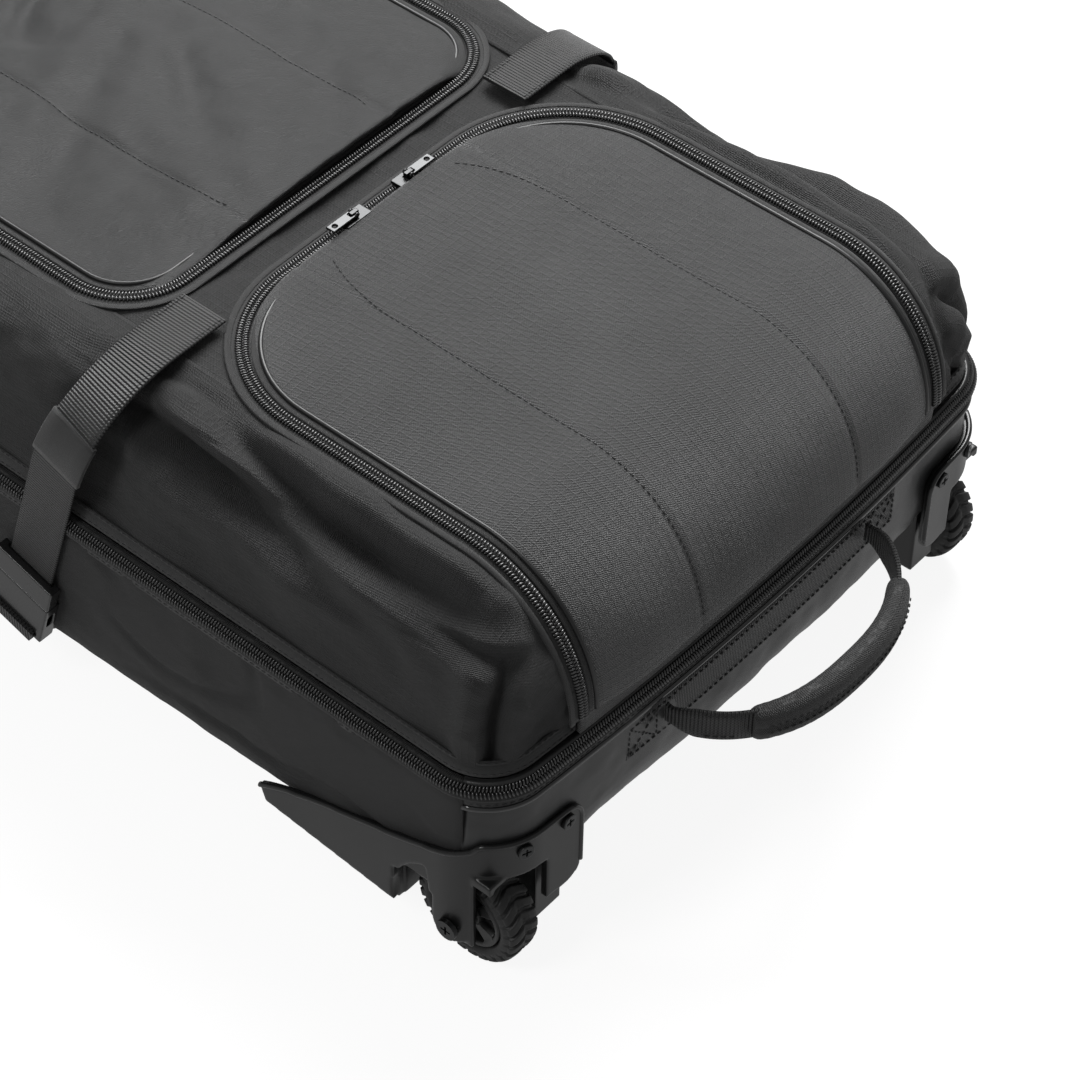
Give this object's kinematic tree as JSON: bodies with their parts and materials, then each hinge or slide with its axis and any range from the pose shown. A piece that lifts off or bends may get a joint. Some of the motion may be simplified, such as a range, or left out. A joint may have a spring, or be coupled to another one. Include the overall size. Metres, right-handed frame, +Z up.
{
  "type": "wheeled snowboard travel bag",
  "caption": "Long padded board bag with a zipped lid, a zipped end pocket, compression straps, end handles and in-line wheels at one end.",
  "frame": {"origin": "on the floor, under the middle of the bag's body", "axes": "+Z up, +Y along the bag from the wheel end to the head end, +X to the right seen from the wheel end"},
  "size_m": [0.485, 1.7677, 0.2715],
  "materials": {
    "coated_panel": "semi-gloss coated",
    "side_fabric": "matte woven",
    "satin_fabric": "satin woven",
    "ripstop_fabric": "ripstop weave",
    "lining_sheet": "matte lining",
    "stiff_board": "matte sheet",
    "webbing": "ribbed woven",
    "elastic": "smooth knitted",
    "padded_cloth": "woven over foam",
    "zip_tape_and_coil": "woven tape, glossy nylon coil",
    "piping_bead": "glossy bead",
    "housing_plastic": "satin moulded",
    "tyre_rubber": "matte",
    "hub_plastic": "satin moulded",
    "bush_metal": "turned",
    "black_steel": "black oxide",
    "bright_steel": "plated",
    "slider_metal": "gunmetal satin",
    "pull_metal": "gunmetal satin",
    "buckle_plastic": "smooth moulded"
  },
  "bodies": {
    "tray": {"wheel_end_panel": "coated_panel", "side_panel_left": "side_fabric", "side_panel_right": "side_fabric", "head_end_panel": "side_fabric", "bottom_panel": "side_fabric", "floor_board": "stiff_board", "tie_down_straps": "webbing", "perimeter_zip_tray_side": "zip_tape_and_coil", "end_piping": "piping_bead", "handle_patch": "webbing", "wheel_housing_left": "housing_plastic", "wheel_housing_right": "housing_plastic", "housing_backing_plates": "bright_steel", "housing_screws": "black_steel", "wheel_axles": "black_steel", "axle_nuts": "bright_steel", "lower_straps": "webbing", "buckle_sockets": "buckle_plastic"},
    "wheel_right": {"wheel_tyre_right": "tyre_rubber", "wheel_hub_right": "hub_plastic", "wheel_bush_right": "bush_metal"},
    "wheel_left": {"wheel_tyre_left": "tyre_rubber", "wheel_hub_left": "hub_plastic", "wheel_bush_left": "bush_metal"},
    "lid": {"lid_side_right": "side_fabric", "lid_side_left": "side_fabric", "lid_head_panel": "side_fabric", "lid_cross_band": "side_fabric", "lid_end_strip": "side_fabric", "perimeter_zip_lid_side": "zip_tape_and_coil", "main_zip_lid_side": "zip_tape_and_coil", "pocket_zip_lid_side": "zip_tape_and_coil", "lid_divider": "lining_sheet", "pocket_bulkhead": "lining_sheet", "strap_webbing": "webbing", "strap_keepers": "elastic"},
    "main_flap": {"main_flap": "satin_fabric", "main_zip_flap_side": "zip_tape_and_coil"},
    "pocket_flap": {"pocket_flap": "ripstop_fabric", "pocket_zip_flap_side": "zip_tape_and_coil"},
    "end_handle": {"end_handle_loop": "webbing", "end_handle_grip": "padded_cloth"},
    "head_handle": {"head_handle_loop": "webbing", "head_handle_grip": "padded_cloth"},
    "perimeter_slider_front": {"perimeter_slider_front": "slider_metal"},
    "perimeter_pull_front": {"perimeter_pull_front": "pull_metal"},
    "perimeter_slider_rear": {"perimeter_slider_rear": "slider_metal"},
    "perimeter_pull_rear": {"perimeter_pull_rear": "pull_metal"},
    "main_slider_front": {"main_slider_front": "slider_metal"},
    "main_pull_front": {"main_pull_front": "pull_metal"},
    "main_slider_rear": {"main_slider_rear": "slider_metal"},
    "main_pull_rear": {"main_pull_rear": "pull_metal"},
    "pocket_slider_left": {"pocket_slider_left": "slider_metal"},
    "pocket_pull_left": {"pocket_pull_left": "pull_metal"},
    "pocket_slider_right": {"pocket_slider_right": "slider_metal"},
    "pocket_pull_right": {"pocket_pull_right": "pull_metal"},
    "plug_front_left": {"buckle_plug_front_left": "buckle_plastic"},
    "plug_front_right": {"buckle_plug_front_right": "buckle_plastic"},
    "plug_rear_left": {"buckle_plug_rear_left": "buckle_plastic"},
    "plug_rear_right": {"buckle_plug_rear_right": "buckle_plastic"}
  },
  "joints": [
    {"name": "wheel_right_spin", "type": "hinge", "parent": "tray", "child": "wheel_right", "pos_m": [0.208, -0.784, 0.037], "axis": [1, 0, 0], "continuous": true},
    {"name": "wheel_left_spin", "type": "hinge", "parent": "tray", "child": "wheel_left", "pos_m": [-0.208, -0.784, 0.037], "axis": [1, 0, 0], "continuous": true},
    {"name": "lid_hinge", "type": "hinge", "parent": "tray", "child": "lid", "pos_m": [0, 0.81, 0.1625], "axis": [-1, 0, 0], "range_deg": [0, 90]},
    {"name": "main_flap_hinge", "type": "hinge", "parent": "lid", "child": "main_flap", "pos_m": [0, 0.7, 0.262], "axis": [-1, 0, 0], "range_deg": [0, 110]},
    {"name": "pocket_flap_hinge", "type": "hinge", "parent": "lid", "child": "pocket_flap", "pos_m": [0, -0.82, 0.1775], "axis": [1, 0, 0], "range_deg": [0, 90]},
    {"name": "end_handle_swing", "type": "hinge", "parent": "tray", "child": "end_handle", "pos_m": [0, -0.825, 0.128], "axis": [-1, 0, 0], "range_deg": [-45, 30]},
    {"name": "head_handle_swing", "type": "hinge", "parent": "tray", "child": "head_handle", "pos_m": [0, 0.8135, 0.128], "axis": [1, 0, 0], "range_deg": [-45, 15]},
    {"name": "perimeter_slider_front_travel", "type": "slide", "parent": "tray", "child": "perimeter_slider_front", "axis": [0, -1, 0], "range_m": [0, 0.64]},
    {"name": "perimeter_pull_front_swing", "type": "hinge", "parent": "perimeter_slider_front", "child": "perimeter_pull_front", "pos_m": [-0.2357, 0.252, 0.157], "axis": [0, 0, -1], "range_deg": [0, 165]},
    {"name": "perimeter_slider_rear_travel", "type": "slide", "parent": "tray", "child": "perimeter_slider_rear", "axis": [0, 1, 0], "range_m": [0, 0.17]},
    {"name": "perimeter_pull_rear_swing", "type": "hinge", "parent": "perimeter_slider_rear", "child": "perimeter_pull_rear", "pos_m": [-0.2357, 0.3, 0.157], "axis": [0, 0, 1], "range_deg": [0, 165]},
    {"name": "main_slider_front_travel", "type": "slide", "parent": "lid", "child": "main_slider_front", "axis": [0, -1, 0], "range_m": [0, 0.6]},
    {"name": "main_pull_front_swing", "type": "hinge", "parent": "main_slider_front", "child": "main_pull_front", "pos_m": [-0.16, 0.2, 0.2697], "axis": [-1, 0, 0], "range_deg": [0, 165]},
    {"name": "main_slider_rear_travel", "type": "slide", "parent": "lid", "child": "main_slider_rear", "axis": [0, 1, 0], "range_m": [0, 0.4]},
    {"name": "main_pull_rear_swing", "type": "hinge", "parent": "main_slider_rear", "child": "main_pull_rear", "pos_m": [-0.16, 0.248, 0.2697], "axis": [1, 0, 0], "range_deg": [0, 165]},
    {"name": "pocket_slider_left_travel", "type": "slide", "parent": "lid", "child": "pocket_slider_left", "axis": [-1, 0, 0], "range_m": [0, 0.046]},
    {"name": "pocket_pull_left_swing", "type": "hinge", "parent": "pocket_slider_left", "child": "pocket_pull_left", "pos_m": [-0.016, -0.52, 0.2697], "axis": [0, 1, 0], "range_deg": [0, 165]},
    {"name": "pocket_slider_right_travel", "type": "slide", "parent": "lid", "child": "pocket_slider_right", "axis": [1, 0, 0], "range_m": [0, 0.032]},
    {"name": "pocket_pull_right_swing", "type": "hinge", "parent": "pocket_slider_right", "child": "pocket_pull_right", "pos_m": [0.031, -0.52, 0.2697], "axis": [0, -1, 0], "range_deg": [0, 165]},
    {"name": "plug_front_left_release", "type": "slide", "parent": "lid", "child": "plug_front_left", "axis": [0, -0.299, 0.9542], "range_m": [0, 0.03]},
    {"name": "plug_front_right_release", "type": "slide", "parent": "lid", "child": "plug_front_right", "axis": [0, -0.299, 0.9542], "range_m": [0, 0.03]},
    {"name": "plug_rear_left_release", "type": "slide", "parent": "lid", "child": "plug_rear_left", "axis": [0, -0.299, 0.9542], "range_m": [0, 0.03]},
    {"name": "plug_rear_right_release", "type": "slide", "parent": "lid", "child": "plug_rear_right", "axis": [0, -0.299, 0.9542], "range_m": [0, 0.03]}
  ]
}
